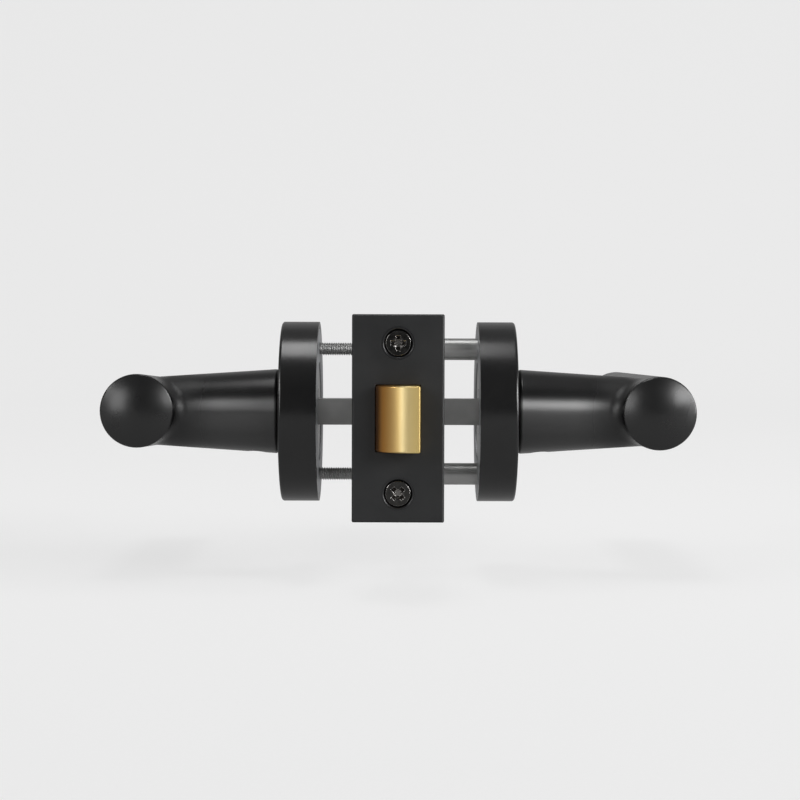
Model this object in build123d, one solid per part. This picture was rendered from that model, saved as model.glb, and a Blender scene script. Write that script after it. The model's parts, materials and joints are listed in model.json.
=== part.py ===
from build123d import *
import math
import os

os.makedirs("parts", exist_ok=True)

# A lever latch set for a door: two levers on round roses and a tubular spring latch.
# X runs along the spindle, through the door. The door edge lies towards -Y and the
# grips point towards +Y. Z is up. The origin is on the spindle axis, midway between
# the two faces of the door. Every size is in millimetres and every angle in degrees.

# Fit to the door
door_thickness = 48.0
backset = 60.0

# Sides of a socket and of the wire in the springs, and the angle of a whole turn
hexagon_sides = 6
full_turn = 360.0

# Clearances
bearing = 0.05  # radial gap of a turning or sliding fit
slip = 0.1  # gap beside a piece that slides or is pushed on
play = 0.2  # end gap between pieces that move on each other
run = 0.4  # gap between pieces that pass without touching

# Levers
lever_swing = 60.0
grip_diameter = 22.0
grip_standoff = 54.0  # door face to grip axis
grip_ahead = 16.0  # spindle axis to the near end of the grip
grip_behind = 106.0  # spindle axis to the free end of the grip
grip_dome = 2.2
grip_flat = 0.5
grip_edge = 0.7
left_droop = 1.7  # angle by which the left-hand grip hangs lower
neck_rose_diameter = 25.7
neck_grip_diameter = 20.2
neck_edge = 0.8
neck_blend = 4.0
spigot_diameter = 16.0
spigot_flats = 13.6

# Spindle and grub screws
spindle_side = 7.9
spindle_depth = 30.0  # door face to the end of the spindle
spindle_chamfer = 0.8
grub_diameter = 6.0
grub_length = 5.6
grub_setback = 6.6  # end of the neck to the screw
grub_socket = 3.0
grub_socket_depth = 2.4

# Roses
rose_diameter = 54.5
rose_depth = 11.2
rose_wall = 2.0
rose_face = 1.6
rose_edge = 0.8
base_rim = 2.2
base_floor = 1.2
bush_wall = 2.45
bush_nose = 1.0  # bush showing in front of the rose
boss_wall = 1.9

# Drive plates, retaining rings and return springs
drive_thickness = 1.3
drive_margin = 0.4
lug_width = 1.4
lug_angle = 12.0
lug_rest = 30.0  # angle of the lug at rest, from +Y towards +Z
lug_rise = 1.2
ring_thickness = 0.8
ring_groove = 0.7
ring_width = 2.8
ring_gap = 50.0  # angle left open in the ring
return_wire = 1.0
return_pitch = 1.1
return_turns = 2.5
return_gap = 0.9  # room round the boss for the coil to tighten
return_leg = 4.0
peg_diameter = 2.4

# Posts and screws that tie the roses together
tie_spacing = 38.0
tie_boss = 8.6
tie_seat = 1.8
tie_head_diameter = 7.6
tie_head_height = 2.2
tie_slot = 1.2
tie_slot_depth = 1.1
post_diameter = 6.6
post_reach = 34.0  # door face to the end of the post
screw_diameter = 4.0
screw_reach = 32.0  # door face to the end of the screw
post_bore_depth = 26.0

# Faceplate, forend and their screws
face_width = 25.4
face_height = 57.15
face_thickness = 3.0
face_corner = 0.5
face_edge = 0.4
forend_margin = 0.3
forend_thickness = 1.8
forend_lip = 1.0
edge_screw_spacing = 41.3
edge_sink_diameter = 8.2
edge_head_diameter = 7.0
edge_rim = 0.25
edge_neck_diameter = 3.6
edge_thread_diameter = 4.2
edge_screw_length = 25.0
edge_point = 4.0
recess_span = 4.2
recess_foot_span = 2.0
recess_slot = 1.3
recess_foot_slot = 0.8
recess_dish = 3.2
recess_dish_depth = 0.26
recess_pocket = 1.8
recess_foot_pocket = 1.2
recess_depth = 1.9
lower_screw_turn = 45.0

# Latch bolt
bolt_throw = 10.4
bolt_width = 12.0
bolt_height = 18.0
bolt_land = 2.6  # flat left on the nose
bolt_edge = 0.4
bolt_gap = 0.25  # round the bolt in the plates
bolt_shoulder = 5.0
bolt_end = 2.0
strip_width = 2.0
strip_height = 7.0
strip_head_height = 10.4
strip_head = 2.0

# Latch tube, case and spring
tube_diameter = 24.4
tube_wall = 1.2
tube_end = 2.2
spring_room = 0.6
latch_wire = 1.2
latch_coil_diameter = 13.0
latch_turns = 6
coil_steps = 16
case_thickness = 1.4
case_gap = 8.0  # between the two case plates
case_height = 21.2
case_back = 14.0  # spindle axis to the back of the case
case_corner = 4.0
tongue_height = 4.0
tongue_wall = 0.9  # tube end left outside the tongues
rivet_setback = 3.1
rivet_diameter = 4.0
rivet_neck = 2.8
rivet_head = 4.8
rivet_head_height = 0.8

# Follower and retractor
hub_diameter = 14.4
hub_proud = 0.8
lobe_thickness = 3.6
lobe_nose = 1.5
lobe_front = 2.2
lobe_back = 0.3
hook_gap = 0.35
hook_overlap = 0.25
hook_height = 3.0
hook_depth = 3.0
retractor_wall = 1.2
retractor_side = 1.3
retractor_height = 20.8
retractor_tail = 1.5

# Places along X, measured out from the face of the door
door_face = door_thickness / 2
drive_inner = run
drive_outer = drive_inner + drive_thickness
ring_inner = drive_outer + play
back_recess = ring_inner + ring_thickness + play
floor_top = back_recess + base_floor
base_top = rose_depth - rose_face - slip
bush_end = rose_depth + bush_nose
neck_start = bush_end + play
grip_axis = door_face + grip_standoff
grub_place = door_face + neck_start + grub_setback
coil_start = floor_top + lug_rise + play + return_wire / 2
wire_overlap = return_wire / 4  # of a leg into its coil
tie_seat_top = floor_top + tie_seat

# Radii about the spindle axis
grip_radius = grip_diameter / 2
spigot_radius = spigot_diameter / 2
bush_radius = spigot_radius + bearing + bush_wall
boss_radius = bush_radius + boss_wall
return_radius = boss_radius + return_gap + return_wire / 2
lug_inside = return_radius - lug_width / 2 - slip
lug_outside = lug_inside + lug_width
drive_radius = lug_outside + drive_margin
base_radius = rose_diameter / 2 - rose_wall - slip
socket_side = spindle_side + 2 * bearing

# Places along Y
face_front = -backset
face_back = face_front + face_thickness
forend_back = face_back + forend_thickness
tube_front = face_back + forend_lip
shoulder_front = tube_front + play
shoulder_back = shoulder_front + bolt_shoulder
bolt_back = shoulder_back + bolt_end
bolt_tip = face_front - bolt_throw
strip_front = shoulder_back - play - strip_head
pocket_front = strip_front - bolt_throw - play
tube_end_front = bolt_back + 2 * bolt_throw + spring_room
tube_back = tube_end_front + tube_end
wall_front = tube_back + run
wall_back = wall_front + retractor_wall
tube_inside = tube_diameter / 2 - tube_wall

# Edge screws: how far the head lies below the face in its countersink
edge_seat = (edge_sink_diameter - edge_head_diameter) / 2 - slip
edge_head_set = edge_seat - edge_rim

# Follower: the lobes lean forward by half the swing, so they draw the bolt evenly
lobe_lean = lever_swing / 2
lobe_reach = bolt_throw / (2 * math.sin(math.radians(lever_swing / 2)))
lobe_tip = (
    -lobe_reach * math.sin(math.radians(lobe_lean)),
    lobe_reach * math.cos(math.radians(lobe_lean)),
)
hook_front = lobe_tip[0] + lobe_nose + hook_gap
hook_low = lobe_tip[1] - hook_gap - hook_overlap
case_half = case_gap / 2
retractor_half = case_half - run

# Tongues of the case plates, kept inside the tube
tongue_reach = math.sqrt((tube_inside - tongue_wall) ** 2 - (case_half + case_thickness) ** 2)
tongue_offset = tongue_reach - tongue_height / 2


def slab_x(sketch, x_from, x_to):
    """A sketch in (y, z) given thickness along X."""
    return extrude(Plane.YZ.offset(x_from) * sketch, amount=x_to - x_from)


def slab_y(sketch, y_from, y_to):
    """A sketch in (x, z) given thickness along Y."""
    return extrude(Plane.XZ.offset(-y_from) * sketch, amount=y_from - y_to)


def slab_z(sketch, z_from, z_to):
    """A sketch in (x, y) given thickness along Z."""
    return extrude(Plane.XY.offset(z_from) * sketch, amount=z_to - z_from)


def turned(points):
    """A solid turned about X from (x, radius) points."""
    return revolve(make_face(Polyline(*points, close=True)), Axis.X)


def on_door(shape):
    """Moves a piece drawn from the face of the door out to the right-hand face."""
    return Pos(door_face, 0, 0) * shape


def left_hand(shape):
    """The left-hand twin of a right-hand piece."""
    return mirror(shape, about=Plane.YZ)


def polar(radius, angle):
    """A point in (y, z) at an angle from +Y towards +Z."""
    return (radius * math.cos(math.radians(angle)), radius * math.sin(math.radians(angle)))


def sector(inside, outside, start, end):
    """A piece of a ring between two angles."""
    inner = CenterArc((0, 0), inside, start, end - start)
    outer = CenterArc((0, 0), outside, start, end - start)
    sides = [Line(inner @ 0, outer @ 0), Line(inner @ 1, outer @ 1)]
    return make_face([inner, outer] + sides)


def coil(radius, wire, places, start):
    """A wire coil about X that reaches each of the places in equal steps of angle."""
    sections = []
    for step, place in enumerate(places):
        angle = start + full_turn * step / coil_steps
        centre = (place, *polar(radius, angle))
        along = (0, *polar(radius, angle + 90.0))
        outward = (0, *polar(1.0, angle))
        frame = Plane(origin=centre, x_dir=outward, z_dir=along)
        sections.append(frame * RegularPolygon(wire / 2, hexagon_sides))
    return loft(sections, ruled=True)


def dome_drop(radius):
    """How far the dome of a grip end has fallen away at a radius from its middle."""
    ball = (grip_radius**2 + grip_dome**2) / (2 * grip_dome)
    return ball - math.sqrt(ball**2 - radius**2)


def grip_bar():
    """The round bar of the grip with its two domed ends, each with a small flat in the middle."""
    radii = (grip_flat / 2, grip_radius / 2, grip_radius)
    flat = dome_drop(radii[0])
    near = ThreePointArc(*[(r, dome_drop(r) - flat - grip_ahead) for r in radii])
    far = ThreePointArc(*[(r, grip_behind + flat - dome_drop(r)) for r in reversed(radii)])
    ends = Polyline(far @ 1, (0, grip_behind), (0, -grip_ahead), near @ 0)
    outline = make_face([near, Line(near @ 1, far @ 0), far] + ends.edges())
    outline = fillet(outline.vertices().group_by(Axis.X)[-1], grip_edge)
    return Pos(grip_axis, 0, 0) * revolve(outline, Axis.Y)


def neck():
    """The tapered neck, with its rose end just clear of the bush."""
    start = door_face + neck_start
    outline = make_face(
        Polyline(
            (start, 0),
            (start, neck_rose_diameter / 2),
            (grip_axis, neck_grip_diameter / 2),
            (grip_axis, 0),
            close=True,
        )
    )
    rim = outline.vertices().group_by(Axis.Y)[-1]
    return revolve(fillet(rim, neck_edge), Axis.X)


def spigot_outline(extra):
    """The end of the spigot: a round with two flats."""
    return Circle(spigot_radius + extra) & Rectangle(
        spigot_diameter + 2 * extra, spigot_flats + 2 * extra
    )


def spigot():
    """The spigot that turns in the bush, grooved for its ring, with a flatted end."""
    shank = slab_x(Circle(spigot_radius), ring_inner, neck_start + neck_edge)
    end = slab_x(spigot_outline(0), drive_inner, ring_inner)
    groove_back = back_recess - play / 2
    band = Circle(spigot_diameter) - Circle(spigot_radius - ring_groove)
    groove = slab_x(band, ring_inner, groove_back)
    return on_door(shank + end - groove)


def grub_hole():
    """The threaded hole in the underside of the neck."""
    place = Pos(grub_place, 0, 0) * Circle(grub_diameter / 2)
    return slab_z(place, -neck_rose_diameter, 0)


def lever(droop):
    """A right-hand lever: grip, neck and spigot in one casting, with the grip's own droop."""
    body = grip_bar() + neck()
    joint = body.edges().filter_by(GeomType.BSPLINE)
    body = Rot(-droop, 0, 0) * fillet(joint, neck_blend) + spigot()
    socket = slab_x(
        Rectangle(socket_side, socket_side), drive_inner - run, spindle_depth + run
    )
    return body - on_door(socket) - grub_hole()


def grub_screw():
    """A grub screw with a hexagon socket, tight against the spindle."""
    top = -spindle_side / 2
    bottom = top - grub_length
    body = slab_z(Circle(grub_diameter / 2 - bearing), bottom, top)
    across = grub_socket / math.sqrt(3)
    socket = slab_z(RegularPolygon(across, hexagon_sides), bottom, bottom + grub_socket_depth)
    return Pos(grub_place, 0, 0) * (body - socket)


def spindle():
    """The square spindle through both levers and the follower."""
    reach = door_face + spindle_depth
    bar = slab_x(Rectangle(spindle_side, spindle_side), -reach, reach)
    ends = bar.faces().sort_by(Axis.X)
    return chamfer(ends[0].edges() + ends[-1].edges(), spindle_chamfer)


def rose_cover():
    """The turned cap that hides the base."""
    radius = rose_diameter / 2
    bore = radius - rose_wall
    hole = bush_radius + run
    outline = make_face(
        Polyline(
            (0, bore),
            (0, radius),
            (rose_depth, radius),
            (rose_depth, hole),
            (rose_depth - rose_face, hole),
            (rose_depth - rose_face, bore),
            close=True,
        )
    )
    corner = outline.vertices().group_by(Axis.Y)[-1].sort_by(Axis.X)[-1]
    return on_door(revolve(fillet(corner, rose_edge), Axis.X))


def tie_places():
    """The two tie holes, above and below the spindle."""
    return Locations((0, tie_spacing / 2), (0, -tie_spacing / 2))


def peg():
    """The outline of the peg that holds the fixed leg of the return spring."""
    leg = return_start() + full_turn * return_turns
    radius = return_radius + return_leg / 2
    shift = math.degrees((return_wire / 2 + peg_diameter / 2 + slip) / radius)
    return Pos(*polar(radius, leg - shift)) * Circle(peg_diameter / 2)


def rose_base(tie_hole):
    """The cast base that carries the bush, the spring and the tie fixings."""
    body = slab_x(Circle(base_radius), 0, base_top)
    ring = Circle(base_radius - base_rim) - Circle(boss_radius)
    bosses = Sketch() + tie_places() * Circle(tie_boss / 2)
    body -= slab_x(ring - bosses - peg(), floor_top, base_top)
    body -= slab_x(bosses, tie_seat_top, base_top)
    body -= slab_x(Circle(drive_radius + run), 0, back_recess)
    body -= slab_x(Circle(bush_radius + bearing), 0, base_top)
    holes = Sketch() + tie_places() * Circle(tie_hole / 2)
    body -= slab_x(holes, 0, base_top)
    end = math.degrees(play / lug_inside)
    slot = sector(
        lug_inside - play,
        lug_outside + play,
        lug_rest - lever_swing - lug_angle / 2 - end,
        lug_rest + lug_angle / 2 + end,
    )
    return on_door(body - slab_x(slot, 0, floor_top))


def bush():
    """The bush that the spigot turns in. Its nose shows between rose and neck."""
    outline = Circle(bush_radius) - Circle(spigot_radius + bearing)
    return on_door(slab_x(outline, back_recess, bush_end))


def retaining_ring():
    """The open ring that keeps the spigot in the bush."""
    inside = spigot_radius - ring_groove + bearing
    start = ring_gap / 2
    outline = sector(inside, inside + ring_width, start, full_turn - start)
    return on_door(slab_x(outline, ring_inner + slip, ring_inner + slip + ring_thickness))


def drive_plate():
    """The plate on the end of the spigot. Its lug loads the spring and meets the stops."""
    plate = slab_x(Circle(drive_radius) - spigot_outline(bearing), drive_inner, drive_outer)
    outline = sector(
        lug_inside, lug_outside, lug_rest - lug_angle / 2, lug_rest + lug_angle / 2
    )
    return on_door(plate + slab_x(outline, drive_inner, floor_top + lug_rise))


def return_start():
    """The angle at which the spring rests against the lug."""
    beside = math.degrees((return_wire / 2 + slip) / lug_inside)
    return lug_rest - lug_angle / 2 - beside


def return_spring():
    """The torsion spring round the boss: one leg on the lug, one on the peg."""
    count = round(return_turns * coil_steps)
    places = [coil_start + return_pitch * step / coil_steps for step in range(count + 1)]
    body = coil(return_radius, return_wire, places, return_start())
    first = Pos(*polar(return_radius, return_start()))
    tang = slab_x(
        first * RegularPolygon(return_wire / 2, hexagon_sides),
        floor_top + play,
        coil_start + wire_overlap,
    )
    last = return_start() + full_turn * count / coil_steps
    foot = (places[-1], *polar(return_radius - wire_overlap, last))
    leg_plane = Plane(origin=foot, z_dir=(0, *polar(1.0, last)))
    leg = extrude(leg_plane * RegularPolygon(return_wire / 2, hexagon_sides), return_leg)
    return on_door(body + tang + leg)


def tie_head():
    """The slotted pan head of a post or screw."""
    top = tie_seat_top + tie_head_height
    head = slab_x(Circle(tie_head_diameter / 2), tie_seat_top, top)
    slot = slab_x(Rectangle(tie_head_diameter, tie_slot), top - tie_slot_depth, top)
    return head - slot


def tie_post():
    """A post with an inside thread, entered from the right-hand rose."""
    shank = slab_x(Circle(post_diameter / 2), -post_reach, tie_seat_top)
    bore = slab_x(
        Circle(screw_diameter / 2 + bearing), -post_reach, -post_reach + post_bore_depth
    )
    return on_door(tie_head() + shank - bore)


def tie_screw():
    """A machine screw that enters the post from the left-hand rose."""
    shank = slab_x(Circle(screw_diameter / 2), -screw_reach, tie_seat_top)
    return left_hand(on_door(tie_head() + shank))


def tie_pair(shape):
    """The upper and lower one of a tie fixing."""
    lift = tie_spacing / 2
    return Compound(children=[Pos(0, 0, lift) * shape, Pos(0, 0, -lift) * shape])


def bolt_opening():
    """The opening that the bolt slides in."""
    return Rectangle(bolt_width + 2 * bolt_gap, bolt_height + 2 * bolt_gap)


def edge_screw_places():
    """The two screws, above and below the bolt."""
    return Locations((0, edge_screw_spacing / 2), (0, -edge_screw_spacing / 2))


def screw_axis(shape):
    """Stands a piece turned about X in the face of the plate."""
    return Pos(0, face_front, 0) * Rot(0, 0, 90) * shape


def edge_hole():
    """The countersunk hole for a screw."""
    sink = edge_sink_diameter / 2
    stem = edge_neck_diameter / 2 + slip
    return screw_axis(
        turned([(0, 0), (0, sink), (sink - stem, stem), (face_thickness, stem), (face_thickness, 0)])
    )


def edge_screw():
    """A wood screw: countersunk head, neck, thread and point."""
    head = edge_head_diameter / 2
    stem = edge_neck_diameter / 2
    thread = edge_thread_diameter / 2
    behind = forend_back - face_front + play
    outline = [
        (edge_head_set, 0),
        (edge_head_set, head - edge_rim / 2),
        (edge_head_set + edge_rim / 2, head),
        (edge_seat, head),
        (edge_seat + head - stem, stem),
        (behind, stem),
        (behind, thread),
        (edge_screw_length - edge_point, thread),
        (edge_screw_length, 0),
    ]
    return screw_axis(turned(outline)) - cross_recess()


def faceplate():
    """The finish plate on the door edge, countersunk for its screws."""
    outline = RectangleRounded(face_width, face_height, face_corner) - bolt_opening()
    plate = slab_y(outline, face_front, face_back)
    front = plate.faces().sort_by(Axis.Y)[0].outer_wire().edges()
    plate = chamfer(front, face_edge)
    for lift in (edge_screw_spacing / 2, -edge_screw_spacing / 2):
        plate -= Pos(0, 0, lift) * edge_hole()
    return plate


def forend():
    """The latch's own plate behind the faceplate, with a seat for the tube."""
    outline = RectangleRounded(
        face_width - 2 * forend_margin, face_height - 2 * forend_margin, face_corner
    )
    outline -= bolt_opening()
    outline -= edge_screw_places() * Circle(edge_neck_diameter / 2 + run)
    plate = slab_y(outline, face_back, forend_back)
    return plate - slab_y(Circle(tube_diameter / 2 + bearing), tube_front, forend_back)


def cross_recess():
    """The cross in a screw head: two tapered wings and a pocket with a dished mouth."""
    front = face_front + edge_head_set
    top = Plane.XZ.offset(-front)
    mouth = Plane.XZ.offset(-front - recess_dish_depth)
    foot = Plane.XZ.offset(-front - recess_depth)
    wing = loft(
        [top * Rectangle(recess_span, recess_slot), foot * Rectangle(recess_foot_span, recess_foot_slot)]
    )
    dish = loft([top * Circle(recess_dish / 2), mouth * Circle(recess_pocket / 2)])
    pocket = loft([mouth * Circle(recess_pocket / 2), foot * Circle(recess_foot_pocket / 2)])
    return wing + Rot(0, 90, 0) * wing + dish + pocket


def faceplate_screws():
    """The two wood screws. The lower one stopped an eighth of a turn further on."""
    lift = edge_screw_spacing / 2
    upper = Pos(0, 0, lift) * edge_screw()
    lower = Pos(0, 0, -lift) * Rot(0, lower_screw_turn, 0) * edge_screw()
    return Compound(children=[upper, lower])


def latch_bolt():
    """The bolt: a head with a round bevel, a round shoulder and a pocket for the strip."""
    half = bolt_width / 2
    bevel = bolt_width - bolt_land
    nose = (half - bolt_land, bolt_tip)
    arc = CenterArc((nose[0], bolt_tip + bevel), bevel, 180.0, 90.0)
    rest = Polyline(
        arc @ 1, (half, bolt_tip), (half, shoulder_front), (-half, shoulder_front), arc @ 0
    )
    head = slab_z(make_face([arc] + rest.edges()), -bolt_height / 2, bolt_height / 2)
    nose_edges = head.edges().filter_by(lambda edge: edge.center().Y < face_front)
    body = fillet(nose_edges, bolt_edge)
    body += slab_y(Circle(tube_inside - slip), shoulder_front, shoulder_back)
    pocket = Rectangle(strip_width + run, strip_head_height + run)
    return body - slab_y(pocket, pocket_front, shoulder_back)


def bolt_end_plate():
    """The slotted plate that closes the pocket of the bolt behind the strip's head."""
    drop = tube_diameter
    slot = Rectangle(strip_width + run, strip_height + run)
    slot += Pos(0, -drop / 2) * Rectangle(strip_width + run, drop)
    return slab_y(Circle(tube_inside - slip) - slot, shoulder_back, bolt_back)


def pull_strip():
    """The strip from the retractor to the bolt, with a wide head in the bolt's pocket."""
    strip = slab_y(Rectangle(strip_width, strip_height), strip_front, wall_back)
    head = slab_y(
        Rectangle(strip_width, strip_head_height), strip_front, strip_front + strip_head
    )
    return strip + head


def latch_tube():
    """The tube that guides the bolt."""
    outline = Circle(tube_diameter / 2) - Circle(tube_inside)
    return slab_y(outline, tube_front, tube_back)


def tongues(extra):
    """The outline of the case plates' tongues, seen along Y."""
    places = Locations(
        *[
            (side * (case_half + case_thickness / 2), lift * tongue_offset)
            for side in (1, -1)
            for lift in (1, -1)
        ]
    )
    return Sketch() + places * Rectangle(case_thickness + extra, tongue_height + extra)


def tube_end_plate():
    """The plate in the back of the tube. The spring rests on it and the case hangs on it."""
    outline = Circle(tube_inside) - Rectangle(strip_width + run, strip_height + run)
    return slab_y(outline - tongues(2 * bearing), tube_end_front, tube_back)


def case_plate():
    """The right-hand side plate of the case."""
    length = case_back - tube_back
    middle = (case_back + tube_back) / 2
    outline = Pos(middle, 0) * Rectangle(length, case_height)
    outline = fillet(outline.vertices().group_by(Axis.X)[-1], case_corner)
    outline -= Circle(hub_diameter / 2 + bearing)
    outline -= Pos(case_back - rivet_setback, 0) * Circle(rivet_neck / 2 + bearing)
    tongue = Pos((tube_end_front + tube_back) / 2, 0) * Rectangle(tube_end, tongue_height)
    outline += Pos(0, tongue_offset) * tongue
    outline += Pos(0, -tongue_offset) * tongue
    return slab_x(outline, case_half, case_half + case_thickness)


def case_rivet():
    """The shouldered rivet that holds the case plates apart."""
    outer = case_half + case_thickness
    body = slab_x(Circle(rivet_diameter / 2), -case_half, case_half)
    body += slab_x(Circle(rivet_neck / 2), -outer, outer)
    for side in (1, -1):
        head = Circle(rivet_head / 2)
        body += slab_x(head, side * outer, side * (outer + rivet_head_height))
    return Pos(0, case_back - rivet_setback, 0) * body


def lobe():
    """The upper lobe of the follower, with a nose towards the retractor's hook."""
    bar = Pos((lobe_back - lobe_front) / 2, lobe_reach / 2) * Rectangle(
        lobe_back + lobe_front, lobe_reach
    )
    corner = bar.vertices().group_by(Axis.Y)[-1].sort_by(Axis.X)[0]
    bar = fillet(corner, lobe_nose)
    return Rot(0, 0, lobe_lean) * (bar + Pos(0, lobe_reach) * Circle(lobe_nose))


def follower():
    """The hub that the spindle turns, with a lobe above and a lobe below."""
    outline = lobe() + mirror(lobe(), about=Plane.XZ)
    body = slab_x(outline, -lobe_thickness / 2, lobe_thickness / 2)
    reach = case_half + case_thickness + hub_proud
    body += slab_x(Circle(hub_diameter / 2), -reach, reach)
    return body - slab_x(Rectangle(socket_side, socket_side), -reach, reach)


def retractor():
    """The fork that the follower draws back: two sides, a front wall and two hooks."""
    back = hook_front + hook_depth + retractor_tail
    length = back - wall_front
    outline = Pos((back + wall_front) / 2, 0) * Rectangle(length, retractor_height)
    slot_front = -bolt_throw - hub_diameter / 2 - run
    slot = Pos((back + slot_front) / 2, 0) * Rectangle(
        back - slot_front, hub_diameter + 2 * run
    )
    inner = retractor_half - retractor_side
    body = slab_x(outline - slot, -retractor_half, retractor_half)
    body -= slab_x(outline, -inner, inner)
    wall = Rectangle(2 * retractor_half, retractor_height)
    wall -= Rectangle(strip_width, strip_height)
    body += slab_y(wall, wall_front, wall_back)
    for side in (1, -1):
        hook = Pos(0, side * (hook_low + hook_height / 2)) * Rectangle(
            2 * retractor_half, hook_height
        )
        body += slab_y(hook, hook_front, hook_front + hook_depth)
    return body


def latch_spring():
    """The compression spring between the bolt and the tube end, with closed ends."""
    first = bolt_back + slip + latch_wire / 2
    last = tube_end_front - slip - latch_wire / 2
    closed = latch_wire / coil_steps
    open_count = latch_turns * coil_steps
    step = (last - first - 2 * latch_wire) / open_count
    places = [0.0]
    for rise in [closed] * coil_steps + [step] * open_count + [closed] * coil_steps:
        places.append(places[-1] + rise)
    body = coil(latch_coil_diameter / 2, latch_wire, places, 0.0)
    return Pos(0, first, 0) * Rot(0, 0, 90) * body


pieces = {
    "spindle": spindle(),
    "faceplate": faceplate(),
    "forend": forend(),
    "faceplate_screws": faceplate_screws(),
    "latch_bolt": latch_bolt(),
    "bolt_end_plate": bolt_end_plate(),
    "pull_strip": pull_strip(),
    "latch_spring": latch_spring(),
    "latch_tube": latch_tube(),
    "tube_end_plate": tube_end_plate(),
    "case_plate_right": case_plate(),
    "case_plate_left": left_hand(case_plate()),
    "case_rivet": case_rivet(),
    "follower": follower(),
    "retractor": retractor(),
    "rose_base_right": rose_base(post_diameter + 2 * slip),
    "rose_base_left": left_hand(rose_base(screw_diameter + 2 * slip)),
    "tie_posts": tie_pair(tie_post()),
    "tie_screws": tie_pair(tie_screw()),
    "lever_right": lever(0.0),
    "lever_left": left_hand(lever(left_droop)),
}

paired = {
    "grub_screw": grub_screw(),
    "rose_cover": rose_cover(),
    "bush": bush(),
    "retaining_ring": retaining_ring(),
    "drive_plate": drive_plate(),
    "return_spring": return_spring(),
}
for name, shape in paired.items():
    pieces[name + "_right"] = shape
    pieces[name + "_left"] = left_hand(shape)

for name, shape in pieces.items():
    export_step(shape, "parts/" + name + ".step")
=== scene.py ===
import json
import math

import bmesh
import bpy
from mathutils import Euler, Matrix, Vector


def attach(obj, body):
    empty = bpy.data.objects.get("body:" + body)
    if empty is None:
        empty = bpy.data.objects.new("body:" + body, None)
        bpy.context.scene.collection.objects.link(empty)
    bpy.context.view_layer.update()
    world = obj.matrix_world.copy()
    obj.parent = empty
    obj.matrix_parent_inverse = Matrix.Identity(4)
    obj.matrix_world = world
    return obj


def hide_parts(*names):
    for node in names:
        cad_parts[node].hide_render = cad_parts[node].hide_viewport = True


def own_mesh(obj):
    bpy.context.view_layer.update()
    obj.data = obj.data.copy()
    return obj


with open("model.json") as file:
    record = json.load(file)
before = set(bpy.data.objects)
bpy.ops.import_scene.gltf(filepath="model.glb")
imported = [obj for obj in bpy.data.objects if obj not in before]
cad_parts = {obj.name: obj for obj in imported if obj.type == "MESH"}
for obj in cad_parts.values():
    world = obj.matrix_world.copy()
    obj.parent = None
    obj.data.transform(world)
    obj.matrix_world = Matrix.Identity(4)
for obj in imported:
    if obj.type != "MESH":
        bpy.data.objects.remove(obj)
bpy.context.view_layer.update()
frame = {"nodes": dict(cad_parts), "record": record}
nodes = frame["nodes"]

MM = 0.001

# Camera: square to the door edge, a little above the spindle
IMAGE_SIZE = 800
FOCAL_PIXELS = 1936.0
SENSOR = 36.0
CAMERA_PLACE = Vector((0.0005, -0.590, 0.0191))
CAMERA_PITCH = math.radians(1.515)
CAMERA_ROLL = math.radians(0.17)
CAMERA_NEAR = 0.01

# Stage: a pale floor that sweeps up into a backdrop
FLOOR_LEVEL = -0.050
BACKDROP_DISTANCE = 1.6
BACKDROP_RADIUS = 0.8
BACKDROP_HEIGHT = 2.6
STAGE_HALF_WIDTH = 3.0
STAGE_NEAR = -1.8
SWEEP_STEPS = 24
STAGE_PAPER = (0.25, 0.25, 0.25, 1.0)
PAPER_TOOTH = 900.0
PAPER_ROUGH = (0.85, 0.95)
# Glow of the paper by distance from the spindle, so that floor and backdrop read as one pale tone
STAGE_GLOW = (
    (-0.30, 0.60),
    (0.15, 0.655),
    (0.90, 0.70),
    (1.60, 0.725),
    (2.40, 0.705),
)
# Share of the glow that shows in reflections
GLOW_IN_GLOSS = 0.36

# The room: dim in front of the object, brighter at its sides and behind
ROOM_FRONT = 0.10
ROOM_BACK = 0.24
ROOM_REACH = (-1.0, 0.0)

# Soft boxes: degrees right of the camera, degrees up, distance, width, height and radiance
LAMPS = {
    "right_front": (38.0, 19.5, 2.20, 0.80, 0.72, 7.6),
    "right_side": (66.0, 15.0, 1.80, 0.80, 0.86, 12.0),
    "left_front": (-33.0, 14.0, 2.20, 0.74, 0.90, 3.9),
    "left_side": (-58.0, 26.0, 1.80, 0.50, 0.36, 9.0),
    "overhead": (180.0, 90.0, 0.90, 0.20, 0.38, 5.3),
}
OVERHEAD_SHIFT = Vector((-0.05, -0.05, 0.0))

# The range in which most of a noise lies
NOISE_RANGE = (0.3, 0.7)
# The slow unevenness of a coating
MOTTLE_SCALE = 90.0
MOTTLE_DETAIL = 4.0
BEVEL_SAMPLES = 6
# How closely a rounded normal follows the flat one at the inner and outer limit of an edge's wear and
# painted highlight
WEAR_AND_HIGHLIGHT_MATCH = (0.82, 0.97)

# Finishes. Tones go from dark to light, rough is a range of roughness and grain is a noise scale.
# Relief and edge are in metres.
COAT = {
    "tones": ((0.0035, 0.0035, 0.0037), (0.0055, 0.0055, 0.0057)),
    "rough": (0.21, 0.26),
    "grain": 2600.0,
    "relief": 2e-6,
    "ior": 1.6,
}
TURNED = {"rough": (0.38, 0.42), "ior": 2.15, "anisotropy": 0.95}
PLATE = {
    "tones": ((0.0098, 0.0103, 0.0108), (0.0130, 0.0135, 0.0140)),
    "rough": (0.38, 0.46),
    "grain": 3400.0,
    "relief": 5e-6,
    "edge": 0.0004,
}
# Near-black finish that paints the shadow inside the countersinks
SINK_SHADE_FINISH = {"tone": (0.002, 0.002, 0.002, 1.0), "rough": 0.8, "ior": 1.1}
SCREW = {
    "tones": ((0.045, 0.044, 0.042), (0.080, 0.078, 0.075)),
    "rough": (0.14, 0.24),
    "grain": 700.0,
    "relief": 1.2e-5,
    "edge": 0.00026,
}
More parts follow.
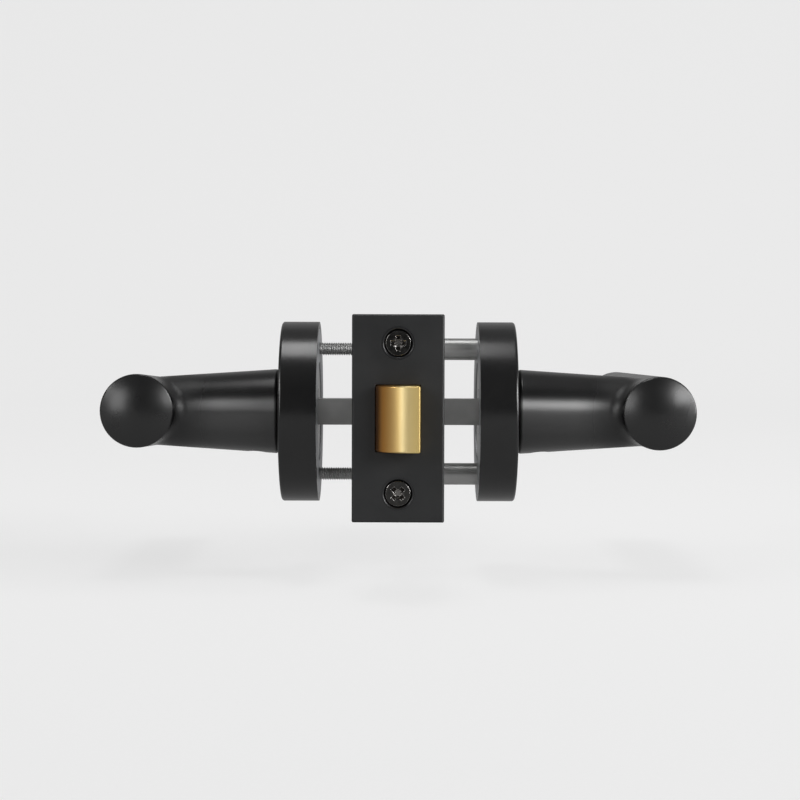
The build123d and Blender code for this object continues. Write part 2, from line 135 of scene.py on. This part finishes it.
OXIDE = {
    "tones": ((0.010, 0.010, 0.011), (0.022, 0.022, 0.024)),
    "rough": (0.30, 0.45),
    "grain": 1800.0,
    "relief": 6e-6,
    "edge": 0.00012,
    "ior": 1.5,
}
PLASTIC = {
    "tones": ((0.006, 0.006, 0.006), (0.009, 0.009, 0.009)),
    "rough": (0.50, 0.60),
    "grain": 2600.0,
    "relief": 1.5e-5,
    "edge": 0.00015,
    "ior": 1.5,
}
ZINC = {
    "tones": ((0.34, 0.35, 0.365), (0.46, 0.47, 0.48)),
    "rough": (0.42, 0.58),
    "cloud": 140.0,
    "grain": 2200.0,
    "relief": 3e-5,
    "edge": 0.0002,
}
# The grain of the drawn metals is stretched along one axis
BRASS = {"rough": (0.34, 0.40), "stretch": (260.0, 260.0, 9000.0), "relief": 3e-6, "edge": 0.00015}
PLATED = {
    "tones": ((0.38, 0.38, 0.375), (0.48, 0.48, 0.475)),
    "rough": (0.34, 0.46),
    "stretch": (90.0, 2600.0, 2600.0),
    "relief": 8e-6,
    "edge": 0.00015,
}
SPRING_WIRE = {
    "tones": ((0.30, 0.30, 0.31), (0.40, 0.40, 0.41)),
    "rough": (0.26, 0.38),
    "stretch": (700.0, 700.0, 700.0),
    "relief": 6e-6,
    "edge": 0.00015,
}
DRAWN_CLOUD = 120.0
DRAWN_ROUGHNESS = 0.6

# The turned grain of a neck: where it starts and ends, and the lengths over which it fades
NECK_START = 0.0358
NECK_FADE = (0.0520, 0.0660)
NECK_TOP = (0.0025, 0.0065)
# Under the necks the gleam is weaker: the height over which it fades, and the share that is lost
NECK_FOOT = (-0.0075, -0.0015)
FOOT_LOSS = -0.5

# The blend of neck and grip, which keeps a duller skin: its two ends and its front
BLEND_RISE = (0.0560, 0.0670)
BLEND_FADE = (0.0680, 0.0720)
BLEND_FRONT = -0.0128
BLEND_DULLING = 0.22

# The domed ends of the grips, a little duller than the rest
CAP_START = 0.0600
CAP_FADE = (-0.0140, -0.0130)
CAP_DULLING = 0.05

# Brass across the bolt, its colour carrying painted light: painted shade at the foot of the bevel, a painted
# highlight towards the nose, and painted shade over the highlight on the nose's edge
BRASS_PAINTED_LIGHT = (
    (-0.0060, (0.28, 0.12, 0.03)),
    (-0.0040, (0.56, 0.26, 0.06)),
    (0.0000, (0.75, 0.53, 0.21)),
    (0.0012, (1.00, 0.80, 0.40)),
    (0.0056, (1.00, 0.74, 0.28)),
    (0.0057, (0.56, 0.41, 0.16)),
)

# Countersinks in the faceplate, by distance from a screw's axis: painted shade inside (a near-black sheet
# standing for the shadow gap round each head), a smooth lip outside
SINK_EDGE = (0.00385, 0.00405)
SINK_LIP = (0.00450, 0.00480)
LIP_POLISH = -0.16

# Edges of the edge screws, worn to steel and lightened further as a painted highlight
WORN_AND_HIGHLIT_STEEL = (0.55, 0.54, 0.52, 1.0)
# Their recesses, from mouth to foot, given a lighter steel as a painted sheen of the recess walls
RECESS_DEPTH = (-0.05962, -0.0578)
RECESS_SHEEN_STEEL = (0.24, 0.23, 0.22, 1.0)

# Threads, in millimetres along and about each screw's axis
WOOD_THREAD = {"start": 5.0, "end": 25.0, "root": 1.45, "crest": 2.1, "pitch": 1.8, "point": 4.0}
TIE_THREAD = {"start": -29.9, "end": 8.0, "root": 1.62, "crest": 2.0, "pitch": 0.7, "point": 0.0}
FACE_FRONT = -60.0
EDGE_SCREW_LIFT = 20.65
TIE_LIFT = 19.0
THREAD_SIDES = 24
THREAD_ROWS = 8
# Share of the pitch that each flank of a thread takes
THREAD_FLANK = 0.4
# Margin for telling the faces of a plain shank from those of a head
SHANK_MARGIN = 0.05

# Faces that meet at a larger angle than this have a sharp edge
SMOOTH_LIMIT = math.radians(35.0)

# Springs, in millimetres
RETURN_SPRING = {"radius": 13.8, "wire": 1.0, "pitch": 1.1, "turns": 2.5, "start": 21.36}
RETURN_TANG = 28.3
RETURN_COIL = 30.0
RETURN_LEG = 4.0
LATCH_SPRING = {"radius": 6.5, "wire": 1.2, "turns": 6, "front": -48.7, "back": -27.5}
WIRE_SIDES = 14
WIRE_STEPS = 40
# The latch spring is parted by a hair at its middle, so that each half rides on its own body:
# the half's cut, its body, the joint, the end it is pressed against and the share of its length that is left
LATCH_HALVES = {
    "front": (-38.15, "retractor", "bolt_push", -38.15, 0.012),
    "back": (-38.09, "lock_body", "retractor_slide", LATCH_SPRING["back"], 0.020),
}


class Nodes:
    """Builds one material's node tree."""

    def __init__(self, name):
        self.material = bpy.data.materials.new(name)
        self.material.use_nodes = True
        self.tree = self.material.node_tree
        self.tree.nodes.clear()
        self.output = self.add("ShaderNodeOutputMaterial")
        self.shader = self.add("ShaderNodeBsdfPrincipled")
        self.join(self.shader.outputs["BSDF"], self.output.inputs["Surface"])

    def add(self, kind, **settings):
        """A new node with its settings."""
        node = self.tree.nodes.new(kind)
        for key, value in settings.items():
            setattr(node, key, value)
        return node

    def join(self, start, end):
        """A link between two sockets."""
        self.tree.links.new(start, end)

    def place(self, stretch=(1.0, 1.0, 1.0)):
        """Object coordinates in metres, stretched along the axes."""
        coordinate = self.add("ShaderNodeTexCoord")
        mapping = self.add("ShaderNodeMapping")
        mapping.inputs["Scale"].default_value = stretch
        self.join(coordinate.outputs["Object"], mapping.inputs["Vector"])
        return mapping.outputs["Vector"]

    def noise(self, vector, scale, detail=2.0, roughness=0.5):
        """An even noise over a vector."""
        texture = self.add("ShaderNodeTexNoise")
        texture.inputs["Scale"].default_value = scale
        texture.inputs["Detail"].default_value = detail
        texture.inputs["Roughness"].default_value = roughness
        self.join(vector, texture.inputs["Vector"])
        return texture.outputs["Fac"]

    def span(self, value, low, high):
        """Maps the usual range of a noise onto a range of values."""
        reach = self.add("ShaderNodeMapRange")
        reach.inputs["From Min"].default_value = NOISE_RANGE[0]
        reach.inputs["From Max"].default_value = NOISE_RANGE[1]
        reach.inputs["To Min"].default_value = low
        reach.inputs["To Max"].default_value = high
        self.join(value, reach.inputs["Value"])
        return reach.outputs["Result"]

    def ramp(self, value, dark, light):
        """Colours a noise between two colours."""
        ramp = self.add("ShaderNodeValToRGB")
        for mark, position, colour in zip(ramp.color_ramp.elements, NOISE_RANGE, (dark, light)):
            mark.position = position
            mark.color = (*colour, 1.0)
        self.join(value, ramp.inputs["Fac"])
        return ramp.outputs["Color"]

    def bump(self, height, depth, under=None):
        """Relief of a given depth in metres, over a normal that is already rounded."""
        bump = self.add("ShaderNodeBump")
        bump.inputs["Distance"].default_value = depth
        self.join(height, bump.inputs["Height"])
        if under is not None:
            self.join(under, bump.inputs["Normal"])
        return bump.outputs["Normal"]

    def axes(self, vector):
        """The three parts of a vector."""
        split = self.add("ShaderNodeSeparateXYZ")
        self.join(vector, split.inputs["Vector"])
        return split.outputs

    def fade(self, value, start, end):
        """One up to the start, nothing past the end."""
        reach = self.add("ShaderNodeMapRange", interpolation_type="SMOOTHSTEP")
        reach.inputs["From Min"].default_value = start
        reach.inputs["From Max"].default_value = end
        reach.inputs["To Min"].default_value = 1.0
        reach.inputs["To Max"].default_value = 0.0
        self.join(value, reach.inputs["Value"])
        return reach.outputs["Result"]

    def sums(self, operation, first, second=None):
        """One step of arithmetic on a value and a second value or number."""
        step = self.add("ShaderNodeMath", operation=operation)
        self.join(first, step.inputs[0])
        if isinstance(second, float):
            step.inputs[1].default_value = second
        elif second is not None:
            self.join(second, step.inputs[1])
        return step.outputs["Value"]

    def blend(self, share, first, second):
        """Goes from one colour to another fixed colour."""
        mix = self.add("ShaderNodeMixRGB")
        mix.inputs["Color2"].default_value = second
        self.join(share, mix.inputs["Fac"])
        self.join(first, mix.inputs["Color1"])
        return mix.outputs["Color"]

    def worn_and_highlit(self, rounded):
        """One along the edges that a rounded normal softens, where wear and a painted highlight go."""
        flat = self.add("ShaderNodeNewGeometry")
        match = self.add("ShaderNodeVectorMath", operation="DOT_PRODUCT")
        self.join(rounded, match.inputs[0])
        self.join(flat.outputs["Normal"], match.inputs[1])
        return self.fade(match.outputs["Value"], *WEAR_AND_HIGHLIGHT_MATCH)

    def graded(self, value, stops):
        """Colours a value by a list of places and colours."""
        first, last = stops[0][0], stops[-1][0]
        reach = self.add("ShaderNodeMapRange")
        reach.inputs["From Min"].default_value = first
        reach.inputs["From Max"].default_value = last
        self.join(value, reach.inputs["Value"])
        ramp = self.add("ShaderNodeValToRGB")
        marks = ramp.color_ramp.elements
        while len(marks) < len(stops):
            marks.new(1.0)
        for mark, (place, colour) in zip(marks, stops):
            mark.position = (place - first) / (last - first)
            mark.color = (*colour, 1.0)
        self.join(reach.outputs["Result"], ramp.inputs["Fac"])
        return ramp.outputs["Color"]

    def mix_in(self, shader, share):
        """Shows a second shader where the share is one."""
        mix = self.add("ShaderNodeMixShader")
        self.join(share, mix.inputs["Fac"])
        self.join(self.shader.outputs["BSDF"], mix.inputs[1])
        self.join(shader.outputs["BSDF"], mix.inputs[2])
        self.join(mix.outputs["Shader"], self.output.inputs["Surface"])

    def mottle(self, vector):
        """The slow unevenness of a coating."""
        return self.noise(vector, MOTTLE_SCALE, detail=MOTTLE_DETAIL)

    def drawn(self, stretch):
        """The drawn grain of a metal."""
        return self.noise(self.place(stretch), 1.0, detail=3.0, roughness=DRAWN_ROUGHNESS)

    def soft_edges(self, radius):
        """A normal that rounds the edges."""
        bevel = self.add("ShaderNodeBevel", samples=BEVEL_SAMPLES)
        bevel.inputs["Radius"].default_value = radius
        return bevel.outputs["Normal"]

    def set(self, **values):
        """Fixed values of the shader."""
        for key, value in values.items():
            self.shader.inputs[key.replace("_", " ")].default_value = value

    def wire(self, **links):
        """Links into the shader."""
        for key, link in links.items():
            self.join(link, self.shader.inputs[key.replace("_", " ")])


def coated(name, finish):
    """Opaque black coating: a slow mottle in tone and gloss over a fine grain."""
    n = Nodes(name)
    place = n.place()
    mottle = n.mottle(place)
    grain = n.noise(place, finish["grain"])
    n.set(IOR=finish["ior"])
    n.wire(
        Base_Color=n.ramp(mottle, *finish["tones"]),
        Roughness=n.span(mottle, *finish["rough"]),
        Normal=n.bump(grain, finish["relief"], under=n.soft_edges(finish["edge"])),
    )
    return n.material


def neck_mask(n, place):
    """Where the levers' necks show their turned grain: not on top, and less underneath."""
    axes = n.axes(place)
    far = n.sums("ABSOLUTE", axes["X"])
    started = n.sums("GREATER_THAN", far, NECK_START)
    along = n.sums("MULTIPLY", started, n.fade(far, *NECK_FADE))
    lost = n.sums("MULTIPLY", n.fade(axes["Z"], *NECK_FOOT), FOOT_LOSS)
    below = n.sums("ADD", lost, 1.0)
    return n.sums("MULTIPLY", n.sums("MULTIPLY", along, below), n.fade(axes["Z"], *NECK_TOP))


def blend_mask(n, place):
    """Where a neck runs into its grip."""
    axes = n.axes(place)
    far = n.sums("ABSOLUTE", axes["X"])
    behind = n.sums("GREATER_THAN", axes["Y"], BLEND_FRONT)
    band = n.sums("SUBTRACT", n.fade(far, *BLEND_FADE), n.fade(far, *BLEND_RISE))
    return n.sums("MULTIPLY", behind, band)


def cap_mask(n, place):
    """The domed front ends of the grips."""
    axes = n.axes(place)
    outer = n.sums("GREATER_THAN", n.sums("ABSOLUTE", axes["X"]), CAP_START)
    return n.sums("MULTIPLY", outer, n.fade(axes["Y"], *CAP_FADE))


def black_coat():
    """Satin black of the levers and roses. The turned grain of the necks gleams along their length."""
    n = Nodes("black_coat")
    place = n.place()
    mottle = n.mottle(place)
    tone = n.ramp(mottle, *COAT["tones"])
    relief = n.bump(n.noise(place, COAT["grain"]), COAT["relief"])
    n.set(IOR=COAT["ior"])
    blend_dull = n.sums("MULTIPLY", blend_mask(n, place), BLEND_DULLING)
    cap_dull = n.sums("MULTIPLY", cap_mask(n, place), CAP_DULLING)
    dull = n.sums("ADD", blend_dull, cap_dull)
    gloss = n.sums("ADD", n.span(mottle, *COAT["rough"]), dull)
    n.wire(Base_Color=tone, Roughness=gloss, Normal=relief)
    turned = n.add("ShaderNodeBsdfPrincipled")
    turned.inputs["IOR"].default_value = TURNED["ior"]
    turned.inputs["Anisotropic"].default_value = TURNED["anisotropy"]
    along = n.add("ShaderNodeCombineXYZ")
    along.inputs["X"].default_value = 1.0
    n.join(tone, turned.inputs["Base Color"])
    n.join(n.span(mottle, *TURNED["rough"]), turned.inputs["Roughness"])
    n.join(relief, turned.inputs["Normal"])
    n.join(along.outputs["Vector"], turned.inputs["Tangent"])
    n.mix_in(turned, neck_mask(n, place))
    return n.material


def plate_black():
    """The duller black of the faceplate, with painted shade inside the countersinks."""
    n = Nodes("plate_black")
    place = n.place()
    axes = n.axes(place)
    lift = n.sums("SUBTRACT", n.sums("ABSOLUTE", axes["Z"]), EDGE_SCREW_LIFT * MM)
    squares = n.sums("ADD", n.sums("MULTIPLY", axes["X"], axes["X"]), n.sums("MULTIPLY", lift, lift))
    radius = n.sums("SQRT", squares)
    # Inside each countersink: painted shade
    sink_shade_mask = n.fade(radius, *SINK_EDGE)
    lip = n.sums("SUBTRACT", n.fade(radius, *SINK_LIP), sink_shade_mask)
    mottle = n.mottle(place)
    polish = n.sums("MULTIPLY", lip, LIP_POLISH)
    n.wire(
        Base_Color=n.ramp(mottle, *PLATE["tones"]),
        Roughness=n.sums("ADD", n.span(mottle, *PLATE["rough"]), polish),
        Normal=n.bump(n.noise(place, PLATE["grain"]), PLATE["relief"], under=n.soft_edges(PLATE["edge"])),
    )
    # A near-black sheet, painted in the countersinks as shade
    painted_shade_sheet = n.add("ShaderNodeBsdfPrincipled")
    painted_shade_sheet.inputs["Base Color"].default_value = SINK_SHADE_FINISH["tone"]
    painted_shade_sheet.inputs["Roughness"].default_value = SINK_SHADE_FINISH["rough"]
    painted_shade_sheet.inputs["IOR"].default_value = SINK_SHADE_FINISH["ior"]
    n.mix_in(painted_shade_sheet, sink_shade_mask)
    return n.material


def screw_black():
    """Glossy black plating of the screws in the faceplate, worn along the edges with a painted highlight
    there, and a painted sheen in the recesses.
    """
    n = Nodes("screw_black")
    mottle = n.noise(n.place(), SCREW["grain"], detail=3.0)
    rounded = n.soft_edges(SCREW["edge"])
    depth = n.axes(n.place())["Y"]
    mouth, foot = RECESS_DEPTH
    # Lighter steel in the recess: a painted sheen
    recess_sheen = n.sums("MULTIPLY", n.sums("GREATER_THAN", depth, mouth), n.sums("LESS_THAN", depth, foot))
    tone = n.blend(recess_sheen, n.ramp(mottle, *SCREW["tones"]), RECESS_SHEEN_STEEL)
    n.set(Metallic=1.0)
    n.wire(
        # Edges: wear plus a painted highlight
        Base_Color=n.blend(n.worn_and_highlit(rounded), tone, WORN_AND_HIGHLIT_STEEL),
        Roughness=n.span(mottle, *SCREW["rough"]),
        Normal=n.bump(mottle, SCREW["relief"], under=rounded),
    )
    return n.material


def black_oxide():
    """Blackened steel of the grub screws."""
    return coated("black_oxide", OXIDE)


def bush_plastic():
    """Black moulded plastic."""
    return coated("bush_plastic", PLASTIC)


def zinc_casting():
    """Tumbled zinc casting with a dull cast skin."""
    n = Nodes("zinc_casting")
    place = n.place()
    cloud = n.noise(place, ZINC["cloud"], detail=4.0)
    skin = n.noise(place, ZINC["grain"], detail=3.0)
    n.set(Metallic=1.0)
    n.wire(
        Base_Color=n.ramp(cloud, *ZINC["tones"]),
        Roughness=n.span(skin, *ZINC["rough"]),
        Normal=n.bump(skin, ZINC["relief"], under=n.soft_edges(ZINC["edge"])),
    )
    return n.material


def brushed(name, finish):
    """Metal with a fine grain that runs along one axis."""
    n = Nodes(name)
    lines = n.drawn(finish["stretch"])
    cloud = n.noise(n.place(), DRAWN_CLOUD)
    n.set(Metallic=1.0)
    n.wire(
        Base_Color=n.ramp(cloud, *finish["tones"]),
        Roughness=n.span(lines, *finish["rough"]),
        Normal=n.bump(lines, finish["relief"], under=n.soft_edges(finish["edge"])),
    )
    return n.material


def bolt_brass():
    """Satin brass with a fine grain along the bolt; its colour across the bolt paints shade at the foot of
    the bevel and a highlight towards the nose.
    """
    n = Nodes("bolt_brass")
    lines = n.drawn(BRASS["stretch"])
    n.set(Metallic=1.0)
    n.wire(
        # Colour across the bolt: painted shade at the bevel's foot, painted highlight towards the nose
        Base_Color=n.graded(n.axes(n.place())["X"], BRASS_PAINTED_LIGHT),
        Roughness=n.span(lines, *BRASS["rough"]),
        Normal=n.bump(lines, BRASS["relief"], under=n.soft_edges(BRASS["edge"])),
    )
    return n.material


def plated_steel():
    """Zinc-plated steel with a drawn grain along the spindle."""
    return brushed("plated_steel", PLATED)


def spring_steel():
    """Drawn spring wire, darker than the plated pieces."""
    return brushed("spring_steel", SPRING_WIRE)


FINISH_MAKERS = {
    "black_coat": black_coat,
    "plate_black": plate_black,
    "screw_black": screw_black,
    "black_oxide": black_oxide,
    "bush_plastic": bush_plastic,
    "zinc_casting": zinc_casting,
    "plated_steel": plated_steel,
    "spring_steel": spring_steel,
    "bolt_brass": bolt_brass,
}
finishes = {slot: make() for slot, make in FINISH_MAKERS.items()}


def finish_nodes():
    """Gives every CAD node the finish of its slot in the record."""
    for subpart in frame["record"]["subparts"]:
        mesh = nodes[subpart["node"]].data
        mesh.materials.clear()
        mesh.materials.append(finishes[subpart["material_slot"]])


def add_piece(name, shape, body, slot, node):
    """Shows a finished mesh in place of a CAD node, riding on a body."""
    mesh = bpy.data.meshes.new(name)
    shape.to_mesh(mesh)
    shape.free()
    mesh.materials.append(finishes[slot])
    for polygon in mesh.polygons:
        polygon.use_smooth = True
    mesh.set_sharp_from_angle(angle=SMOOTH_LIMIT)
    piece = bpy.data.objects.new(name, mesh)
    bpy.context.scene.collection.objects.link(piece)
    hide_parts(node)
    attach(piece, body)
    return piece


def thread_point(thread, along, angle, height):
    """A point of a thread as (along, across, up) in millimetres, drawn in at the point of a screw."""
    place = min(max(along, thread["start"]), thread["end"])
    inside = thread["start"] < along < thread["end"]
    radius = thread["root"] + (thread["crest"] - thread["root"]) * height * inside
    if thread["point"] > 0.0:
        radius *= min(1.0, (thread["end"] - place) / thread["point"])
    return (place, radius * math.cos(angle), radius * math.sin(angle))


def add_thread(shape, thread, to_frame):
    """Winds a thread onto a shape. Its rows follow the helix, one pitch per turn."""
    turns = math.ceil((thread["end"] - thread["start"]) / thread["pitch"])
    rows = []
    for row in range(-THREAD_ROWS, (turns + 1) * THREAD_ROWS):
        height = max(0.0, 1.0 - abs(row % THREAD_ROWS - THREAD_ROWS / 2) / (THREAD_ROWS * THREAD_FLANK))
        ring = []
        for side in range(THREAD_SIDES):
            share = side / THREAD_SIDES
            along = thread["start"] + (row / THREAD_ROWS + share) * thread["pitch"]
            point = thread_point(thread, along, 2 * math.pi * share, height)
            ring.append(shape.verts.new(to_frame(point)))
        rows.append(ring)
    for row in range(len(rows) - 1):
        for side in range(THREAD_SIDES - 1):
            corners = (rows[row][side], rows[row][side + 1], rows[row + 1][side + 1], rows[row + 1][side])
            shape.faces.new(corners)
        seam = row + THREAD_ROWS
        if seam + 1 < len(rows):
            shape.faces.new((rows[seam][0], rows[seam + 1][0], rows[row + 1][-1], rows[row][-1]))


def without_shank(node, keep):
    """A CAD node's mesh without the faces of its plain shank."""
    shape = bmesh.new()
    shape.from_mesh(nodes[node].data)
    gone = [face for face in shape.faces if not keep(face)]
    bmesh.ops.delete(shape, geom=gone, context="FACES")
    return shape


def build_wood_screws():
    """The two edge screws, with their thread cut."""
    thread_front = (FACE_FRONT + WOOD_THREAD["start"] - SHANK_MARGIN) * MM
    shape = without_shank("faceplate_screws", lambda face: min(v.co.y for v in face.verts) < thread_front)
    for lift in (EDGE_SCREW_LIFT, -EDGE_SCREW_LIFT):
        add_thread(
            shape,
            WOOD_THREAD,
            lambda p, lift=lift: (p[1] * MM, (FACE_FRONT + p[0]) * MM, (lift + p[2]) * MM),
        )
    add_piece("wood_screws", shape, "lock_body", "screw_black", "faceplate_screws")


def build_tie_screws():
    """The two tie screws, with their thread cut."""
    head_back = (TIE_THREAD["start"] + SHANK_MARGIN) * MM
    shape = without_shank("tie_screws", lambda face: max(v.co.x for v in face.verts) < head_back)
    for lift in (TIE_LIFT, -TIE_LIFT):
        add_thread(
            shape, TIE_THREAD, lambda p, lift=lift: (p[0] * MM, p[1] * MM, (lift + p[2]) * MM)
        )
    add_piece("threaded_tie_screws", shape, "lock_body", "plated_steel", "tie_screws")


def sweep_wire(points, wire):
    """A round wire along a line of points, with closed ends."""
    shape = bmesh.new()
    centres = [Vector(point) * MM for point in points]
    rings = []
    across = None
    for index, centre in enumerate(centres):
        before = centres[max(index - 1, 0)]
        after = centres[min(index + 1, len(centres) - 1)]
        along = (after - before).normalized()
        if across is None:
            across = along.orthogonal()
        across = (across - along * across.dot(along)).normalized()
        beside = along.cross(across)
        ring = []
        for side in range(WIRE_SIDES):
            angle = 2 * math.pi * side / WIRE_SIDES
            offset = across * math.cos(angle) + beside * math.sin(angle)
            ring.append(shape.verts.new(centre + offset * wire / 2 * MM))
        rings.append(ring)
    for first, second in zip(rings, rings[1:]):
        for side in range(WIRE_SIDES):
            after = (side + 1) % WIRE_SIDES
            shape.faces.new((first[side], first[after], second[after], second[side]))
    shape.faces.new(reversed(rings[0]))
    shape.faces.new(rings[-1])
    return shape


def return_line(side):
    """The centre line of a return spring: tang, coil and leg."""
    spring = RETURN_SPRING
    start = math.radians(spring["start"])
    count = round(spring["turns"] * WIRE_STEPS)
    line = [(RETURN_TANG, start, spring["radius"])]
    for step in range(count + 1):
        turn = step / WIRE_STEPS
        line.append((RETURN_COIL + spring["pitch"] * turn, start + 2 * math.pi * turn, spring["radius"]))
    last = line[-1]
    line.append((last[0], last[1], last[2] + RETURN_LEG))
    return [(side * x, r * math.cos(a), r * math.sin(a)) for x, a, r in line]


def latch_line():
    """The centre line of the latch spring, with a closed turn at each end."""
    spring = LATCH_SPRING
    half = spring["wire"] / 2
    closed = spring["wire"] / WIRE_STEPS
    open_count = spring["turns"] * WIRE_STEPS
    reach = spring["back"] - spring["front"] - 2 * half - 2 * spring["wire"]
    rises = [closed] * WIRE_STEPS + [reach / open_count] * open_count + [closed] * WIRE_STEPS
    place = spring["front"] + half
    line = []
    for step, rise in enumerate([0.0] + rises):
        place += rise
        angle = 2 * math.pi * step / WIRE_STEPS
        line.append((-spring["radius"] * math.cos(angle), place, spring["radius"] * math.sin(angle)))
    return line


def cut_across(shape, place, keep_front):
    """Cuts a closed shape square to Y and closes the side that is kept."""
    everything = shape.verts[:] + shape.edges[:] + shape.faces[:]
    cut = bmesh.ops.bisect_plane(
        shape,
        geom=everything,
        plane_co=(0.0, place * MM, 0.0),
        plane_no=(0.0, 1.0, 0.0),
        clear_outer=keep_front,
        clear_inner=not keep_front,
    )
    rim = [item for item in cut["geom_cut"] if isinstance(item, bmesh.types.BMEdge)]
    bmesh.ops.triangle_fill(shape, edges=rim, use_beauty=True)
    bmesh.ops.recalc_face_normals(shape, faces=shape.faces[:])
    return shape


def build_latch_spring():
    """The latch spring in two halves, each riding on its own body."""
    for half, (cut, body, joint, seat, keep) in LATCH_HALVES.items():
        wire = sweep_wire(latch_line(), LATCH_SPRING["wire"])
        shape = cut_across(wire, cut, half == "front")
        piece = add_piece("round_latch_spring_" + half, shape, body, "spring_steel", "latch_spring")
        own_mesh(piece)


def build_springs():
    """Round wire for the three springs."""
    for hand, side in (("left", -1), ("right", 1)):
        shape = sweep_wire(return_line(side), RETURN_SPRING["wire"])
        node = "return_spring_" + hand
        add_piece("round_" + node, shape, "lock_body", "spring_steel", node)
    build_latch_spring()


def stage_material():
    """Pale matt paper with a trace of tooth."""
    n = Nodes("stage_paper")
    tooth = n.noise(n.place(), PAPER_TOOTH)
    path = n.add("ShaderNodeLightPath")
    gloss = n.sums("MULTIPLY", path.outputs["Is Glossy Ray"], GLOW_IN_GLOSS)
    seen = n.sums("MAXIMUM", path.outputs["Is Camera Ray"], gloss)
    tones = [(place, (glow, glow, glow)) for place, glow in STAGE_GLOW]
    n.set(Base_Color=STAGE_PAPER)
    n.wire(
        Roughness=n.span(tooth, *PAPER_ROUGH),
        Emission_Color=n.graded(n.axes(n.place())["Y"], tones),
        Emission_Strength=seen,
    )
    return n.material


def build_stage():
    """The floor and the sweep of the backdrop, in one sheet."""
    profile = [(STAGE_NEAR, FLOOR_LEVEL)]
    for step in range(SWEEP_STEPS + 1):
        turn = math.pi / 2 * step / SWEEP_STEPS
        forward = BACKDROP_DISTANCE + BACKDROP_RADIUS * math.sin(turn)
        profile.append((forward, FLOOR_LEVEL + BACKDROP_RADIUS * (1 - math.cos(turn))))
    profile.append((BACKDROP_DISTANCE + BACKDROP_RADIUS, BACKDROP_HEIGHT))
    points = [(x, y, z) for y, z in profile for x in (-STAGE_HALF_WIDTH, STAGE_HALF_WIDTH)]
    faces = [(2 * i, 2 * i + 1, 2 * i + 3, 2 * i + 2) for i in range(len(profile) - 1)]
    mesh = bpy.data.meshes.new("stage")
    mesh.from_pydata(points, [], faces)
    for polygon in mesh.polygons:
        polygon.use_smooth = True
    mesh.materials.append(stage_material())
    stage = bpy.data.objects.new("stage", mesh)
    bpy.context.scene.collection.objects.link(stage)


def build_lamps():
    """Soft boxes that face the object, each placed by its direction."""
    for name, (turn, lift, far, width, height, glow) in LAMPS.items():
        away = Vector((0.0, -1.0, 0.0))
        away.rotate(Euler((-math.radians(lift), 0.0, math.radians(turn))))
        light = bpy.data.lights.new(name, "AREA")
        light.shape = "RECTANGLE"
        light.size, light.size_y = width, height
        light.energy = glow * math.pi * width * height
        holder = bpy.data.objects.new(name, light)
        holder.location = away * far
        holder.rotation_euler = (-away).to_track_quat("-Z", "Y").to_euler()
        bpy.context.scene.collection.objects.link(holder)
    bpy.data.objects["overhead"].location += OVERHEAD_SHIFT


def build_room():
    """An even room whose light grows from front to back."""
    world = bpy.data.worlds.new("studio")
    world.use_nodes = True
    tree = world.node_tree
    coordinate = tree.nodes.new("ShaderNodeTexCoord")
    split = tree.nodes.new("ShaderNodeSeparateXYZ")
    reach = tree.nodes.new("ShaderNodeMapRange")
    reach.inputs["From Min"].default_value = ROOM_REACH[0]
    reach.inputs["From Max"].default_value = ROOM_REACH[1]
    reach.inputs["To Min"].default_value = ROOM_FRONT
    reach.inputs["To Max"].default_value = ROOM_BACK
    background = tree.nodes["Background"]
    background.inputs["Color"].default_value = (1.0, 1.0, 1.0, 1.0)
    tree.links.new(coordinate.outputs["Generated"], split.inputs["Vector"])
    tree.links.new(split.outputs["Y"], reach.inputs["Value"])
    tree.links.new(reach.outputs["Result"], background.inputs["Strength"])
    bpy.context.scene.world = world


def build_camera():
    """The camera at the photograph's place and angle."""
    data = bpy.data.cameras.new("camera")
    data.sensor_width = SENSOR
    data.lens = FOCAL_PIXELS / IMAGE_SIZE * SENSOR
    data.clip_start = CAMERA_NEAR
    camera = bpy.data.objects.new("camera", data)
    camera.location = CAMERA_PLACE
    level = Euler((math.pi / 2 - CAMERA_PITCH, 0.0, 0.0)).to_matrix()
    camera.rotation_euler = (level @ Matrix.Rotation(CAMERA_ROLL, 3, "Z")).to_euler()
    bpy.context.scene.collection.objects.link(camera)
    bpy.context.scene.camera = camera


finish_nodes()
build_wood_screws()
build_tie_screws()
build_springs()
build_stage()
build_lamps()
build_room()
build_camera()
bpy.context.scene.view_settings.view_transform = "Standard"
